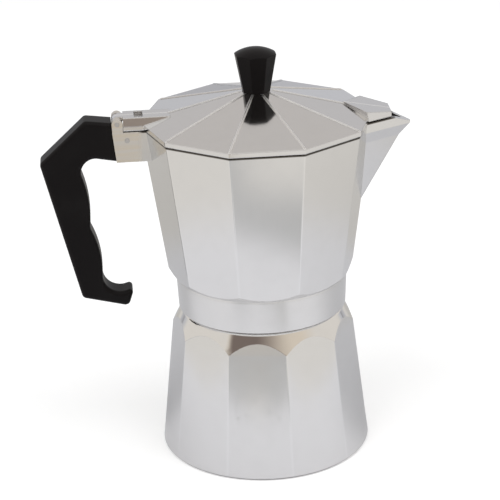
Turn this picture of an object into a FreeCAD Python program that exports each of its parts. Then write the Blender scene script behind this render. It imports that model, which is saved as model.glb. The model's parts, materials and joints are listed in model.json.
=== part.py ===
# Stove-top coffee maker for six small cups, in millimetres.
# +Z is up from the flat foot of the boiler, +X points along the spout and the handle lies on -X.
import FreeCAD, Part
import math
import os

# Facets that the boiler, the collector and the lid share
side_count = 10
corner_round = 1.2

# Clearances
slide_gap = 0.6
run_gap = 0.06
press_gap = 0.02
pocket_gap = 0.1
seat_gap = 0.3

# Boiler: sides that run from a round foot into facets, with arched tops under a turned shoulder
boiler_foot_radius = 50.0
boiler_shoulder_flat = 41.2
boiler_side_height = 60.5
shoulder_height = 9.9
shoulder_ledge = 2.2
shoulder_lip_round = 2.0
boiler_foot_round = 1.2
boiler_floor = 4.0
boiler_wall = 3.2
boiler_inner_round = 5.0
neck_inset = 5.2
neck_wall = 3.2
neck_height = 11.9
neck_bevel = 0.8
boiler_turn = -8.5
boiler_shoulder_high = boiler_side_height + shoulder_height
neck_radius = boiler_shoulder_flat - neck_inset
shoulder_top_radius = neck_radius + shoulder_ledge
neck_top = boiler_shoulder_high + neck_height
neck_bore = neck_radius - neck_wall

# Funnel with its perforated floor, and the stem pressed into its sleeve
funnel_gauge = 1.0
funnel_rim_inset = 0.4
funnel_basket_depth = 22.0
funnel_ledge = 1.6
funnel_cone_height = 10.0
funnel_sleeve = 6.0
funnel_stem_radius = 5.2
stem_floor_gap = 3.0
funnel_rim_radius = neck_radius - funnel_rim_inset
funnel_top = neck_top + funnel_gauge
basket_ledge = funnel_top - funnel_basket_depth
funnel_cone_low = basket_ledge - funnel_gauge - funnel_cone_height

# Sealing ring between funnel rim and collector, in the bore of the threaded collar
thread_room = 1.2
gasket_height = 3.2
gasket_width = 9.1
collar_bore_radius = neck_radius + thread_room
gasket_outer_radius = collar_bore_radius - slide_gap
gasket_inner_radius = gasket_outer_radius - gasket_width
seal_seat = funnel_top + gasket_height

# Perforated discs
filter_gauge = 0.8
filter_hole_radius = 0.75
filter_ring_count = 4
filter_edge = 4.4
filter_lap = 2.5
filter_radius = gasket_inner_radius + filter_lap
filter_seat_depth = filter_gauge + pocket_gap

# Collector: round threaded collar, faceted jug
collar_bottom_gap = 0.8
collar_wall = 2.5
collar_flare = 0.7
collar_cap = 0.5
jug_height = 73.8
jug_foot_overhang = 3.1
jug_spread = 10.2
collector_wall = 2.4
chamber_floor_height = 6.0
dome_height = 2.5
collar_bottom = boiler_shoulder_high + collar_bottom_gap
collar_low_radius = collar_bore_radius + collar_wall
collar_high_radius = collar_low_radius + collar_flare
collar_top = seal_seat + collar_cap
collector_rim = collar_top + jug_height
collector_foot_corner = collar_high_radius + jug_foot_overhang
collector_rim_corner = collector_foot_corner + jug_spread
chamber_floor = seal_seat + chamber_floor_height

# Spout, with its heights measured down from the rim
spout_reach = 17.5
spout_root_half_width = 12.0
spout_root_drop = 40.8
spout_bend_back = 5.3
spout_bend_drop = 10.1
spout_nose_drop = 4.6
spout_lip_drop = 3.6
spout_droop_length = 9.2
spout_wall = 2.2
spout_edge_round = 1.6
spout_length = collector_rim_corner + spout_reach
spout_bend_x = spout_length - spout_bend_back
spout_droop_start = spout_length - spout_droop_length
spout_root_height = collector_rim - spout_root_drop
spout_bend_height = collector_rim - spout_bend_drop
spout_nose_height = collector_rim - spout_nose_drop
spout_lip_height = collector_rim - spout_lip_drop

# Delivery column inside the collector
column_drop = 12.8
column_foot_radius = 8.5
column_spigot_step = 2.5
column_foot_step = 1.1
column_taper = 2.0
column_flange = 1.6
column_bore_radius = 2.5
column_cap = 5.0
column_slot_width = 2.4
column_slot_height = 7.0
column_top = collector_rim - column_drop
column_spigot_radius = column_foot_radius - column_spigot_step
column_low_radius = column_foot_radius - column_foot_step
column_high_radius = column_low_radius - column_taper

# Lid
lid_overhang = 0.5
lid_band = 2.2
lid_gap = 0.6
lid_rise = 11.9
lid_crown_corner = 6.9
lid_wall = 2.0
lid_seat_inset = 1.3
lid_seat_width = 2.9
lid_rib_width = 1.0
lid_rib_height = 0.35
lid_boss_depth = 2.5
lid_corner = collector_rim_corner + lid_overhang
lid_bottom = collector_rim + lid_gap
lid_edge = lid_bottom + lid_band
lid_crown = lid_edge + lid_rise
lid_slope = lid_rise / (lid_corner - lid_crown_corner)

# Raised cover over the spout, part of the lid
cover_length = 21.6
cover_reach = 7.4
cover_shoulder_inset = 4.7
cover_lap = 0.9
cover_end_half_width = 6.2
cover_start_rise = 4.3
cover_end_rise = 0.2
cover_end = lid_corner + cover_reach
cover_start = cover_end - cover_length
cover_shoulder_x = lid_corner - cover_shoulder_inset
cover_shoulder_half_width = spout_root_half_width + cover_lap
cover_start_height = lid_edge + cover_start_rise
cover_end_height = lid_edge + cover_end_rise

# Hinge: lug with two ears on the collector, plate with a knuckle on the lid
lug_half_width = 6.8
lug_depth = 14.3
lug_reach = 13.1
face_lean = 0.0966
ear_radius = 2.5
ear_width = 3.6
hinge_rise = 1.1
hinge_pin_radius = 1.1
tongue_gauge = 2.0
tongue_side_height = 2.0
tongue_side_lean = 1.4
tongue_root_inset = 14.2
window_inset = 1.7
window_length = 4.0
window_margin = 2.8
ear_inner = lug_half_width - ear_width
knuckle_radius = ear_radius - pocket_gap
hinge_height = lid_edge + hinge_rise
tongue_top = hinge_height + ear_radius
tongue_root_x = lid_corner - tongue_root_inset
window_near = lid_corner - window_inset
face_rim_x = collector_rim_corner + lug_reach

# Handle: a flat grip with a slanted back, a finger swell and a hooked end.
# Its corners are measured outwards from the lug's face at the rim, down from the rim or up from the toe.
handle_inset = 0.6
handle_edge_round = 2.0
handle_corner_round = 2.5
handle_face_rise = 4.2
handle_crest_out = 12.4
handle_crest_rise = 5.8
handle_back_out = 34.0
handle_back_drop = 13.8
handle_toe_in = 3.3
handle_toe_drop = 86.7
handle_heel_out = 18.2
handle_heel_rise = 5.4
hook_tip_in = 7.2
hook_tip_rise = 11.6
hook_tip_round = 1.6
palm_low_out = 8.2
palm_low_rise = 16.4
palm_waist_out = 12.7
palm_waist_drop = 46.5
palm_high_out = 15.4
palm_high_fall = 7.4
palm_swell = 1.6
palm_round = 6.0
throat_in = 6.7
throat_lift = 1.9
throat_bow = 1.9
handle_half_width = lug_half_width - handle_inset

# Steel tang that joins handle and lug, with its cross pin
tang_height = 5.2
tang_half_width = 3.2
tang_roof = 1.2
tang_in_lug = 11.5
tang_in_handle = 17.0
handle_pin_radius = 1.2
handle_pin_inset = 6.3
tang_middle = collector_rim - tang_roof - pocket_gap - 0.5 * tang_height

# Knob on the lid, with its insert, washer and screw
knob_sides = 8
knob_turn = 4.3
knob_flare = 3.3
knob_height = 20.3
knob_dome_rise = 3.0
knob_corner_round = 0.5
insert_depth = 10.0
knob_screw_radius = 1.6
screw_bite = 7.3
screw_head_height = 2.2
screw_slot_width = 0.9
screw_slot_depth = 1.0
knob_washer_gauge = 0.8
knob_washer_radius = 5.0
lid_boss_lap = 1.0
knob_low_corner = lid_crown_corner - seat_gap
knob_high_corner = knob_low_corner + knob_flare
insert_radius = 2.0 * knob_screw_radius
screw_head_radius = 2.0 * knob_screw_radius
lid_boss_radius = knob_washer_radius + lid_boss_lap
boss_bottom = lid_crown - lid_wall - lid_boss_depth
screw_seat = boss_bottom - knob_washer_gauge

# Safety valve through the boiler wall, with lengths measured outwards from the boiler's flat
valve_drop = 16.5
valve_shank_radius = 5.0
valve_flange_step = 2.4
valve_flange_gauge = 2.0
valve_head_step = 0.5
valve_head_height = 6.0
valve_inner_length = 5.0
valve_nut_step = 1.5
valve_nut_height = 3.0
valve_washer_gauge = 1.0
valve_shank_wall = 1.7
valve_inlet_radius = 1.6
valve_seat_wall = 1.5
poppet_gauge = 1.6
poppet_stem_radius = 1.0
poppet_stem_out = 1.5
spring_inset = 0.4
spring_gauge = 0.6
retainer_gauge = 1.2
valve_height = boiler_side_height - valve_drop
valve_flange_radius = valve_shank_radius + valve_flange_step
valve_head_across = 2.0 * (valve_shank_radius + valve_head_step)
valve_nut_across = 2.0 * (valve_shank_radius + valve_nut_step)
valve_spot_radius = valve_nut_across / math.sqrt(3.0) + 2.0 * slide_gap
valve_bore_radius = valve_shank_radius - valve_shank_wall
poppet_radius = valve_bore_radius - slide_gap
spring_radius = poppet_radius - spring_inset
valve_inner_end = -boiler_wall - valve_inner_length
valve_seat = valve_inner_end + valve_seat_wall
valve_outer_end = valve_washer_gauge + valve_flange_gauge + valve_head_height

half_step = math.pi / side_count


def face_x(height):
    """Gives the distance from the axis to the slanted face between lug and handle."""
    return face_rim_x + face_lean * (height - collector_rim)


hinge_x = -(face_x(hinge_height) - seat_gap - ear_radius)
handle_pin_x = -(face_x(tang_middle) - handle_pin_inset)


def flat(height):
    """Gives the boiler's distance from axis to flat at a height."""
    share = height / boiler_side_height
    return boiler_foot_radius + (boiler_shoulder_flat - boiler_foot_radius) * share


def jug_corner(height):
    """Gives the collector's corner radius at a height."""
    share = (height - collar_top) / (collector_rim - collar_top)
    return collector_foot_corner + (collector_rim_corner - collector_foot_corner) * share


def polar(radius, angle, height):
    """Makes a point from cylinder coordinates, with the angle in radians."""
    return FreeCAD.Vector(radius * math.cos(angle), radius * math.sin(angle), height)


def polygon_wire(corner, height, sides, turn, rounding):
    """Makes a regular polygon with rounded corners, level at a height."""
    half = math.pi / sides
    run = rounding * math.tan(half)
    inset = rounding * (1.0 / math.cos(half) - 1.0)
    starts, middles, ends = [], [], []
    for number in range(sides):
        angle = math.radians(turn) + 2.0 * half * number
        point = polar(corner, angle, height)
        back = (polar(corner, angle - 2.0 * half, height) - point).normalize()
        ahead = (polar(corner, angle + 2.0 * half, height) - point).normalize()
        starts.append(point + back * run)
        middles.append(polar(corner - inset, angle, height))
        ends.append(point + ahead * run)
    edges = []
    for number in range(sides):
        edges.append(Part.Arc(starts[number], middles[number], ends[number]).toShape())
        edges.append(Part.LineSegment(ends[number], starts[(number + 1) % sides]).toShape())
    return Part.Wire(edges)


def circle_wire(radius, height, corner, sides, turn, rounding):
    """Makes a level circle in arcs that face the sides and corners of a rounded polygon."""
    half = math.pi / sides
    run = rounding * math.tan(half)
    spread = math.atan2(run * math.cos(half), corner - run * math.sin(half))
    edges = []
    for number in range(sides):
        angle = math.radians(turn) + 2.0 * half * number
        for first, last in ((-spread, spread), (spread, 2.0 * half - spread)):
            start = polar(radius, angle + first, height)
            middle = polar(radius, angle + 0.5 * (first + last), height)
            end = polar(radius, angle + last, height)
            edges.append(Part.Arc(start, middle, end).toShape())
    return Part.Wire(edges)


def faceted(low_corner, low, high_corner, high, sides=side_count, turn=0.0, rounding=corner_round):
    """Lofts a tapered solid between two rounded polygons."""
    first = polygon_wire(low_corner, low, sides, turn, rounding)
    second = polygon_wire(high_corner, high, sides, turn, rounding)
    return Part.makeLoft([first, second], True, True)


def outline(points, bulges=None):
    """Makes a closed wire in the XZ plane; a bulge bows the side after its point to the left."""
    bulges = bulges or {}
    edges = []
    for number, (x, z) in enumerate(points):
        next_x, next_z = points[(number + 1) % len(points)]
        start = FreeCAD.Vector(x, 0, z)
        end = FreeCAD.Vector(next_x, 0, next_z)
        if number in bulges:
            along = (end - start).normalize()
            left = FreeCAD.Vector(-along.z, 0, along.x)
            middle = (start + end) * 0.5 + left * bulges[number]
            edges.append(Part.Arc(start, middle, end).toShape())
        else:
            edges.append(Part.LineSegment(start, end).toShape())
    return Part.Wire(edges)


def turned(points, bulges=None):
    """Turns an outline of radius and height pairs round the Z axis."""
    face = Part.Face(outline(points, bulges))
    return face.revolve(FreeCAD.Vector(0, 0, 0), FreeCAD.Vector(0, 0, 1), 360)


def slab(points, near, far, bulges=None):
    """Extrudes an outline of X and Z pairs from one Y to another."""
    face = Part.Face(outline(points, bulges))
    face.translate(FreeCAD.Vector(0, near, 0))
    return face.extrude(FreeCAD.Vector(0, far - near, 0))


def rod(radius, low, high, bore=0.0):
    """Makes an upright cylinder or, with a bore, a tube."""
    solid = Part.makeCylinder(radius, high - low, FreeCAD.Vector(0, 0, low))
    if bore > 0.0:
        solid = solid.cut(Part.makeCylinder(bore, high - low, FreeCAD.Vector(0, 0, low)))
    return solid


def cross_rod(radius, x, height, half_length):
    """Makes a cylinder along Y, centred on the XZ plane."""
    start = FreeCAD.Vector(x, -half_length, height)
    return Part.makeCylinder(radius, 2.0 * half_length, start, FreeCAD.Vector(0, 1, 0))


def prism(across, low, high, sides=6):
    """Makes an upright prism of a size across flats."""
    wire = polygon_wire(0.5 * across / math.cos(math.pi / sides), low, sides, 0.0, 0.2)
    return Part.Face(wire).extrude(FreeCAD.Vector(0, 0, high - low))


def on_valve_axis(shape):
    """Moves a shape from the Z axis to the valve's axis, with Z turned out of the boiler."""
    lean = math.degrees(math.atan2(boiler_foot_radius - boiler_shoulder_flat, boiler_side_height))
    direction = boiler_turn + 90.0
    tip = FreeCAD.Rotation(FreeCAD.Vector(0, 1, 0), 90.0 - lean)
    swing = FreeCAD.Rotation(FreeCAD.Vector(0, 0, 1), direction)
    seat = polar(flat(valve_height), math.radians(direction), valve_height)
    placed = shape.copy()
    placed.Placement = FreeCAD.Placement(seat, swing.multiply(tip)).multiply(placed.Placement)
    return placed


def make_boiler():
    """Lofts the sides from a round foot to facets, cuts them with a turned profile and hollows the inside."""
    tall = neck_top + 1.0
    shoulder_corner = flat(boiler_side_height) / math.cos(half_step)
    side_turn = boiler_turn + 90.0 - 180.0 / side_count
    foot = circle_wire(boiler_foot_radius, 0.0, shoulder_corner, side_count, side_turn, corner_round)
    shoulder = polygon_wire(shoulder_corner, boiler_side_height, side_count, side_turn, corner_round)
    sides = Part.makeLoft([foot, shoulder], True, True)
    sides = sides.fuse(faceted(shoulder_corner, boiler_side_height, flat(tall) / math.cos(half_step), tall,
                               turn=side_turn))
    reach = (boiler_foot_radius - shoulder_corner) / (shoulder_corner - shoulder_top_radius)
    shoulder_skirt = boiler_side_height - reach * (boiler_shoulder_high - boiler_side_height)
    slope = math.atan2(shoulder_height, shoulder_corner - shoulder_top_radius)
    lip_run = shoulder_lip_round * math.tan(0.5 * slope)
    lip_bow = shoulder_lip_round * (1.0 - math.cos(0.5 * slope))
    profile = [
        (0.0, 0.0),
        (boiler_foot_radius - boiler_foot_round, 0.0),
        (boiler_foot_radius, boiler_foot_round),
        (boiler_foot_radius, shoulder_skirt),
        (shoulder_top_radius + lip_run * math.cos(slope), boiler_shoulder_high - lip_run * math.sin(slope)),
        (shoulder_top_radius - lip_run, boiler_shoulder_high),
        (neck_radius, boiler_shoulder_high),
        (neck_radius, neck_top - neck_bevel),
        (neck_radius - neck_bevel, neck_top),
        (0.0, neck_top),
    ]
    body = sides.common(turned(profile, {4: -lip_bow})).removeSplitter()
    low_radius = flat(boiler_floor) - boiler_wall
    high_radius = flat(boiler_side_height) - boiler_wall
    cavity = turned([
        (0.0, boiler_floor),
        (low_radius - boiler_inner_round, boiler_floor),
        (low_radius, boiler_floor + boiler_inner_round),
        (high_radius, boiler_side_height - boiler_wall),
        (neck_bore, boiler_shoulder_high - boiler_wall),
        (neck_bore, neck_top + 1.0),
        (0.0, neck_top + 1.0),
    ], {1: -0.29 * boiler_inner_round})
    hole = rod(valve_shank_radius + run_gap, -2.0 * boiler_wall, boiler_wall)
    spot = rod(valve_spot_radius, -3.0 * boiler_wall, -boiler_wall)
    return body.cut(cavity).cut(on_valve_axis(hole)).cut(on_valve_axis(spot))


def perforated_disc(radius, low, high):
    """Makes a disc with rings of round holes, six more in each ring."""
    disc = rod(radius, low, high)
    pitch = (radius - filter_edge) / filter_ring_count
    holes = [rod(filter_hole_radius, low, high)]
    for ring in range(1, filter_ring_count + 1):
        for number in range(6 * ring):
            hole = rod(filter_hole_radius, low, high)
            hole.translate(polar(pitch * ring, 2.0 * math.pi * number / (6 * ring), 0.0))
            holes.append(hole)
    return disc.cut(Part.makeCompound(holes))


def make_funnel():
    """Turns the thin funnel: rim, basket with a ledge, cone and the sleeve for its stem."""
    basket = neck_bore - slide_gap
    inner = basket - funnel_gauge
    sleeve_bore = funnel_stem_radius + press_gap
    sleeve_low = funnel_cone_low - funnel_sleeve
    return turned([
        (funnel_rim_radius, funnel_top),
        (inner, funnel_top),
        (inner, basket_ledge),
        (inner - funnel_ledge, basket_ledge),
        (inner - funnel_ledge, basket_ledge - funnel_gauge),
        (sleeve_bore, funnel_cone_low),
        (sleeve_bore, sleeve_low),
        (sleeve_bore + funnel_gauge, sleeve_low),
        (sleeve_bore + funnel_gauge, funnel_cone_low - funnel_gauge),
        (basket, basket_ledge - 2.0 * funnel_gauge),
        (basket, neck_top),
        (funnel_rim_radius, neck_top),
    ])


def make_funnel_stem():
    """Makes the tube that brings the water up, from just over the boiler's floor."""
    low = boiler_floor + stem_floor_gap
    return rod(funnel_stem_radius, low, funnel_cone_low, funnel_stem_radius - funnel_gauge)


def make_funnel_filter():
    """Lays the perforated floor on the funnel's ledge."""
    radius = neck_bore - slide_gap - funnel_gauge - pocket_gap
    return perforated_disc(radius, basket_ledge, basket_ledge + filter_gauge)


def make_gasket():
    """Makes the ring that seals the funnel's rim against the collector."""
    return rod(gasket_outer_radius, funnel_top, seal_seat, gasket_inner_radius)


def make_filter_plate():
    """Lays the perforated plate in its recess, held up by the sealing ring."""
    return perforated_disc(filter_radius, seal_seat, seal_seat + filter_gauge)


def spout_half_angle():
    """Gives half the angle between the spout's two walls, seen from above."""
    root_x = jug_corner(collector_rim) - spout_root_half_width * math.tan(half_step)
    return math.atan2(spout_root_half_width, spout_length - root_x)


def spout_section(nose_x, height, rounding):
    """Makes a level section of the spout: two walls that meet in a rounded nose."""
    half_angle = spout_half_angle()
    centre = nose_x - rounding
    tangent_x = centre + rounding * math.sin(half_angle)
    tangent_y = rounding * math.cos(half_angle)
    back_x = centre - spout_length * math.cos(half_angle)
    back_y = tangent_y + (tangent_x - back_x) * math.tan(half_angle)
    near_back = FreeCAD.Vector(back_x, -back_y, height)
    near = FreeCAD.Vector(tangent_x, -tangent_y, height)
    far = FreeCAD.Vector(tangent_x, tangent_y, height)
    far_back = FreeCAD.Vector(back_x, back_y, height)
    return Part.Wire([
        Part.LineSegment(near_back, near).toShape(),
        Part.Arc(near, FreeCAD.Vector(nose_x, 0, height), far).toShape(),
        Part.LineSegment(far, far_back).toShape(),
        Part.LineSegment(far_back, near_back).toShape(),
    ])


def spout_block(draw_back, rounding, top):
    """Lofts the spout's beak along its keel, drawn back by a distance, up to a level top."""
    keel_slope = (spout_bend_x - jug_corner(spout_root_height)) / (spout_bend_height - spout_root_height)
    low = spout_root_height - 2.0 * collector_wall
    low_x = spout_bend_x - keel_slope * (spout_bend_height - low)
    sections = []
    for x, height in ((low_x, low), (spout_bend_x, spout_bend_height),
                      (spout_length, spout_nose_height), (spout_length, top)):
        sections.append(spout_section(x - draw_back, height, rounding))
    block = Part.makeLoft(sections, True, True)
    reach = 2.0 * spout_length
    front = Part.makeBox(reach, 2.0 * reach, reach, FreeCAD.Vector(0, -reach, low))
    return block.common(front)


def make_spout():
    """Gives the outer spout, with a rounded keel and a lip that droops to the nose."""
    block = spout_block(0.0, spout_edge_round, collector_rim)
    reach = spout_length + 5.0
    fall = (collector_rim - spout_lip_height) / (spout_length - spout_droop_start)
    low = collector_rim - fall * (reach - spout_droop_start)
    droop = slab([(spout_droop_start, collector_rim), (reach, low), (reach, collector_rim + 5.0),
                  (spout_droop_start, collector_rim + 5.0)],
                 -2.0 * spout_root_half_width, 2.0 * spout_root_half_width)
    return block.cut(droop)


def spout_channel():
    """Gives the hollow of the spout: the same beak drawn back by its wall."""
    draw_back = spout_wall / math.sin(spout_half_angle())
    return spout_block(draw_back, 0.5 * spout_edge_round, collector_rim + 2.0)


def make_lug():
    """Makes the block that carries the handle, with two ears for the hinge pin."""
    low = collector_rim - lug_depth
    inside = jug_corner(low) - 2.0 * collector_wall
    block = slab([(-face_x(low), low), (-inside, low), (-inside, collector_rim),
                  (-face_x(collector_rim), collector_rim)], -lug_half_width, lug_half_width)
    arm_low = collector_rim - ear_radius
    arm = slab([(-face_x(arm_low), arm_low), (hinge_x + ear_radius, arm_low),
                (hinge_x + ear_radius, hinge_height), (hinge_x - ear_radius, hinge_height)],
               -lug_half_width, lug_half_width)
    ears = arm.fuse(cross_rod(ear_radius, hinge_x, hinge_height, lug_half_width))
    slot = slab([(hinge_x - 2.0 * ear_radius, collector_rim), (hinge_x + 2.0 * ear_radius, collector_rim),
                 (hinge_x + 2.0 * ear_radius, hinge_height + 2.0 * ear_radius),
                 (hinge_x - 2.0 * ear_radius, hinge_height + 2.0 * ear_radius)], -ear_inner, ear_inner)
    lug = block.fuse(ears.cut(slot))
    lug = lug.cut(cross_rod(hinge_pin_radius + press_gap, hinge_x, hinge_height, lug_half_width))
    return lug


def make_tang(gap):
    """Makes the bar that joins handle and lug; a gap turns it into its pocket."""
    high = tang_middle + 0.5 * tang_height + gap
    low = tang_middle - 0.5 * tang_height - gap
    inner = -face_x(tang_middle) + tang_in_lug + gap
    outer = -face_x(tang_middle) - tang_in_handle - gap
    half = tang_half_width + gap
    return slab([(outer, low), (inner, low), (inner, high), (outer, high)], -half, half)


def make_collector():
    """Fuses collar, faceted jug, spout and lug, then cuts the chamber, bore and seats."""
    foot = collar_top - 1.0
    jug = faceted(jug_corner(foot), foot, jug_corner(collector_rim), collector_rim)
    spread = collector_rim - collar_top
    flare = turned([(0.0, foot), (collar_high_radius, foot), (collar_high_radius, collar_top),
                    (collar_high_radius + spread, collector_rim), (0.0, collector_rim)])
    collar = turned([(0.0, collar_bottom), (collar_low_radius, collar_bottom),
                     (collar_high_radius, collar_top), (0.0, collar_top)])
    body = jug.common(flare).fuse(collar).fuse(make_spout()).fuse(make_lug())
    inset = collector_wall / math.cos(half_step)
    chamber = faceted(jug_corner(chamber_floor) - inset, chamber_floor,
                      jug_corner(collector_rim + 2.0) - inset, collector_rim + 2.0)
    recess = filter_radius + seat_gap
    below = turned([
        (0.0, collar_bottom - 1.0),
        (collar_bore_radius, collar_bottom - 1.0),
        (collar_bore_radius, seal_seat),
        (recess, seal_seat),
        (recess, seal_seat + filter_seat_depth),
        (recess - filter_edge, seal_seat + filter_seat_depth),
        (column_spigot_radius, seal_seat + filter_seat_depth + dome_height),
        (0.0, seal_seat + filter_seat_depth + dome_height),
    ])
    hole = rod(column_spigot_radius + press_gap, seal_seat, chamber_floor + 1.0)
    body = body.cut(chamber).cut(spout_channel()).cut(below).cut(hole)
    body = body.cut(make_tang(pocket_gap))
    body = body.cut(cross_rod(handle_pin_radius + press_gap, handle_pin_x, tang_middle, lug_half_width))
    return body.removeSplitter()


def make_column():
    """Turns the delivery column, bores it from below and slots it under its cap."""
    low = seal_seat + filter_seat_depth + dome_height
    shell = turned([
        (0.0, low),
        (column_spigot_radius, low),
        (column_spigot_radius, chamber_floor),
        (column_foot_radius, chamber_floor),
        (column_foot_radius, chamber_floor + column_flange),
        (column_low_radius, chamber_floor + 2.0 * column_flange),
        (column_high_radius, column_top - column_cap),
        (0.0, column_top),
    ], {6: -0.2 * column_cap})
    bore = rod(column_bore_radius, low - 1.0, column_top - column_cap)
    slot_low = column_top - column_cap - column_slot_height
    half = 0.5 * column_slot_width
    slot = slab([(-half, slot_low), (half, slot_low), (half, column_top - column_cap),
                 (-half, column_top - column_cap)], -column_low_radius, column_low_radius)
    return shell.cut(bore).cut(slot)


def make_cover(inset):
    """Makes the raised cover over the spout; an inset turns it into its own hollow."""
    plan = Part.makePolygon([
        FreeCAD.Vector(cover_start, 0, 0),
        FreeCAD.Vector(cover_shoulder_x, -cover_shoulder_half_width, 0),
        FreeCAD.Vector(cover_end, -cover_end_half_width, 0),
        FreeCAD.Vector(cover_end, cover_end_half_width, 0),
        FreeCAD.Vector(cover_shoulder_x, cover_shoulder_half_width, 0),
        FreeCAD.Vector(cover_start, 0, 0),
    ])
    face = Part.Face(plan)
    if inset > 0.0:
        face = face.makeOffset2D(-inset)
    low = lid_bottom if inset == 0.0 else collector_rim - 1.0
    face.translate(FreeCAD.Vector(0, 0, low))
    block = face.extrude(FreeCAD.Vector(0, 0, lid_crown - low))
    fall = (cover_start_height - cover_end_height) / (cover_end - cover_start)
    near, far = cover_start - 5.0, cover_end + 5.0
    near_top = cover_start_height + 5.0 * fall - inset
    far_top = cover_end_height - 5.0 * fall - inset
    above = slab([(near, near_top), (far, far_top), (far, lid_crown + 5.0), (near, lid_crown + 5.0)],
                 -2.0 * cover_shoulder_half_width, 2.0 * cover_shoulder_half_width)
    return block.cut(above)


def make_tongue():
    """Makes the lid's hinge block with slanted sides, its window and the knuckle round the pin."""
    low = tongue_top - tongue_gauge
    step = hinge_x + ear_radius + seat_gap
    top_half_width = lug_half_width - tongue_side_lean
    side_top = lid_bottom + tongue_side_height
    section = [(-lug_half_width, lid_bottom), (lug_half_width, lid_bottom), (lug_half_width, side_top),
               (top_half_width, tongue_top), (-top_half_width, tongue_top), (-lug_half_width, side_top)]
    ring = [FreeCAD.Vector(step, y, z) for y, z in section]
    bar = Part.Face(Part.makePolygon(ring + ring[:1])).extrude(FreeCAD.Vector(-tongue_root_x - step, 0, 0))
    side = slab([(step, lid_bottom), (-lid_corner + lid_wall, lid_bottom),
                 (-lid_corner + lid_wall, lid_edge - lid_gap), (-tongue_root_x, lid_edge - lid_gap),
                 (-tongue_root_x, tongue_top), (step, tongue_top)], -lug_half_width, lug_half_width)
    plate = bar.common(side)
    half = ear_inner - seat_gap
    strip = slab([(hinge_x, low), (step, low), (step, tongue_top), (hinge_x, tongue_top)], -half, half)
    tongue = plate.fuse(strip).fuse(cross_rod(knuckle_radius, hinge_x, hinge_height, half))
    far = window_near + window_length
    opening = lug_half_width - window_margin
    window = slab([(-far, lid_edge), (-window_near, lid_edge), (-window_near, tongue_top + 1.0),
                   (-far, tongue_top + 1.0)], -opening, opening)
    return tongue.cut(window)


def make_lid():
    """Builds the low faceted roof with ribs, spout cover and hinge tongue, and hollows it."""
    band = faceted(lid_corner, lid_bottom, lid_corner, lid_edge)
    roof = faceted(lid_corner, lid_edge, lid_crown_corner, lid_crown)
    seat_corner = lid_corner - lid_seat_inset
    seat = faceted(seat_corner, collector_rim, seat_corner, lid_edge)
    shell = band.fuse(roof).fuse(seat)
    rib_end = lid_corner - corner_round
    rib_low = lid_edge + lid_slope * (lid_corner - rib_end)
    rib = slab([(lid_crown_corner, lid_crown - lid_wall), (rib_end, rib_low - lid_band),
                (rib_end, rib_low + lid_rib_height), (lid_crown_corner, lid_crown + lid_rib_height)],
               -0.5 * lid_rib_width, 0.5 * lid_rib_width)
    ribs = []
    for number in range(side_count):
        copy = rib.copy()
        copy.rotate(FreeCAD.Vector(0, 0, 0), FreeCAD.Vector(0, 0, 1), 360.0 * number / side_count)
        ribs.append(copy)
    shell = shell.fuse(ribs).fuse(make_cover(0.0)).fuse(make_tongue())
    inner_corner = seat_corner - lid_seat_width
    inner_low = lid_edge + lid_slope * (lid_corner - inner_corner) - lid_wall
    inner_high = lid_crown - lid_wall
    hollow = faceted(inner_corner, collector_rim - 1.0, inner_corner, inner_low)
    hollow = hollow.fuse(faceted(inner_corner, inner_low, lid_crown_corner, inner_high))
    hollow = hollow.fuse(make_cover(lid_wall))
    boss = rod(lid_boss_radius, inner_high - lid_boss_depth, inner_high)
    shell = shell.cut(hollow).fuse(boss)
    shell = shell.cut(rod(knob_screw_radius + pocket_gap, collector_rim, lid_crown + 1.0))
    crown_top = rod(lid_crown_corner + 1.0, lid_crown, lid_crown + 5.0)
    shell = shell.cut(crown_top)
    shell = shell.cut(cross_rod(hinge_pin_radius + run_gap, hinge_x, hinge_height, lug_half_width))
    return shell.removeSplitter()


def make_hinge_pin():
    """Makes the pin through both ears and the lid's knuckle."""
    return cross_rod(hinge_pin_radius, hinge_x, hinge_height, lug_half_width)


def make_handle_pin():
    """Makes the cross pin that holds the tang in the lug."""
    return cross_rod(handle_pin_radius, handle_pin_x, tang_middle, lug_half_width)


def make_handle_tang():
    """Makes the steel tang with its pin hole."""
    hole = cross_rod(handle_pin_radius + press_gap, handle_pin_x, tang_middle, lug_half_width)
    return make_tang(0.0).cut(hole)


def side_edges(solid):
    """Finds the edges of the handle's outline that lie on its two flat sides, off the lug's face."""
    found = []
    for edge in solid.Edges:
        points = [edge.valueAt(edge.FirstParameter), edge.valueAt(edge.LastParameter)]
        on_side = all(abs(abs(point.y) - handle_half_width) < 1e-6 for point in points)
        same_side = points[0].y * points[1].y > 0.0
        on_face = all(abs(point.x + face_x(point.z)) < 1e-4 for point in points)
        if on_side and same_side and not on_face:
            found.append(edge)
    return found


def corner_edges(solid, corners):
    """Finds the edges across the handle that stand on given outline corners."""
    found = []
    for edge in solid.Edges:
        points = [vertex.Point for vertex in edge.Vertexes]
        if len(points) != 2 or abs(points[0].y - points[1].y) < handle_half_width:
            continue
        for x, z in corners:
            if math.hypot(points[0].x - x, points[0].z - z) < 1e-4:
                found.append(edge)
    return found


def handle_corner(out, drop):
    """Gives a corner of the grip's outline from its distance past the lug's face and below the rim."""
    return (-face_rim_x - out, collector_rim - drop)


def smooth_bow(start, end, beyond, next_bow):
    """Gives the bow of an arc that runs on smoothly at its end into the next one, bowed the other way."""
    heading = math.atan2(end[1] - start[1], end[0] - start[0])
    next_heading = math.atan2(beyond[1] - end[1], beyond[0] - end[0])
    next_swing = 2.0 * math.atan2(2.0 * next_bow, math.dist(end, beyond))
    return 0.5 * math.dist(start, end) * math.tan(0.5 * (heading - next_heading + next_swing))


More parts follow.
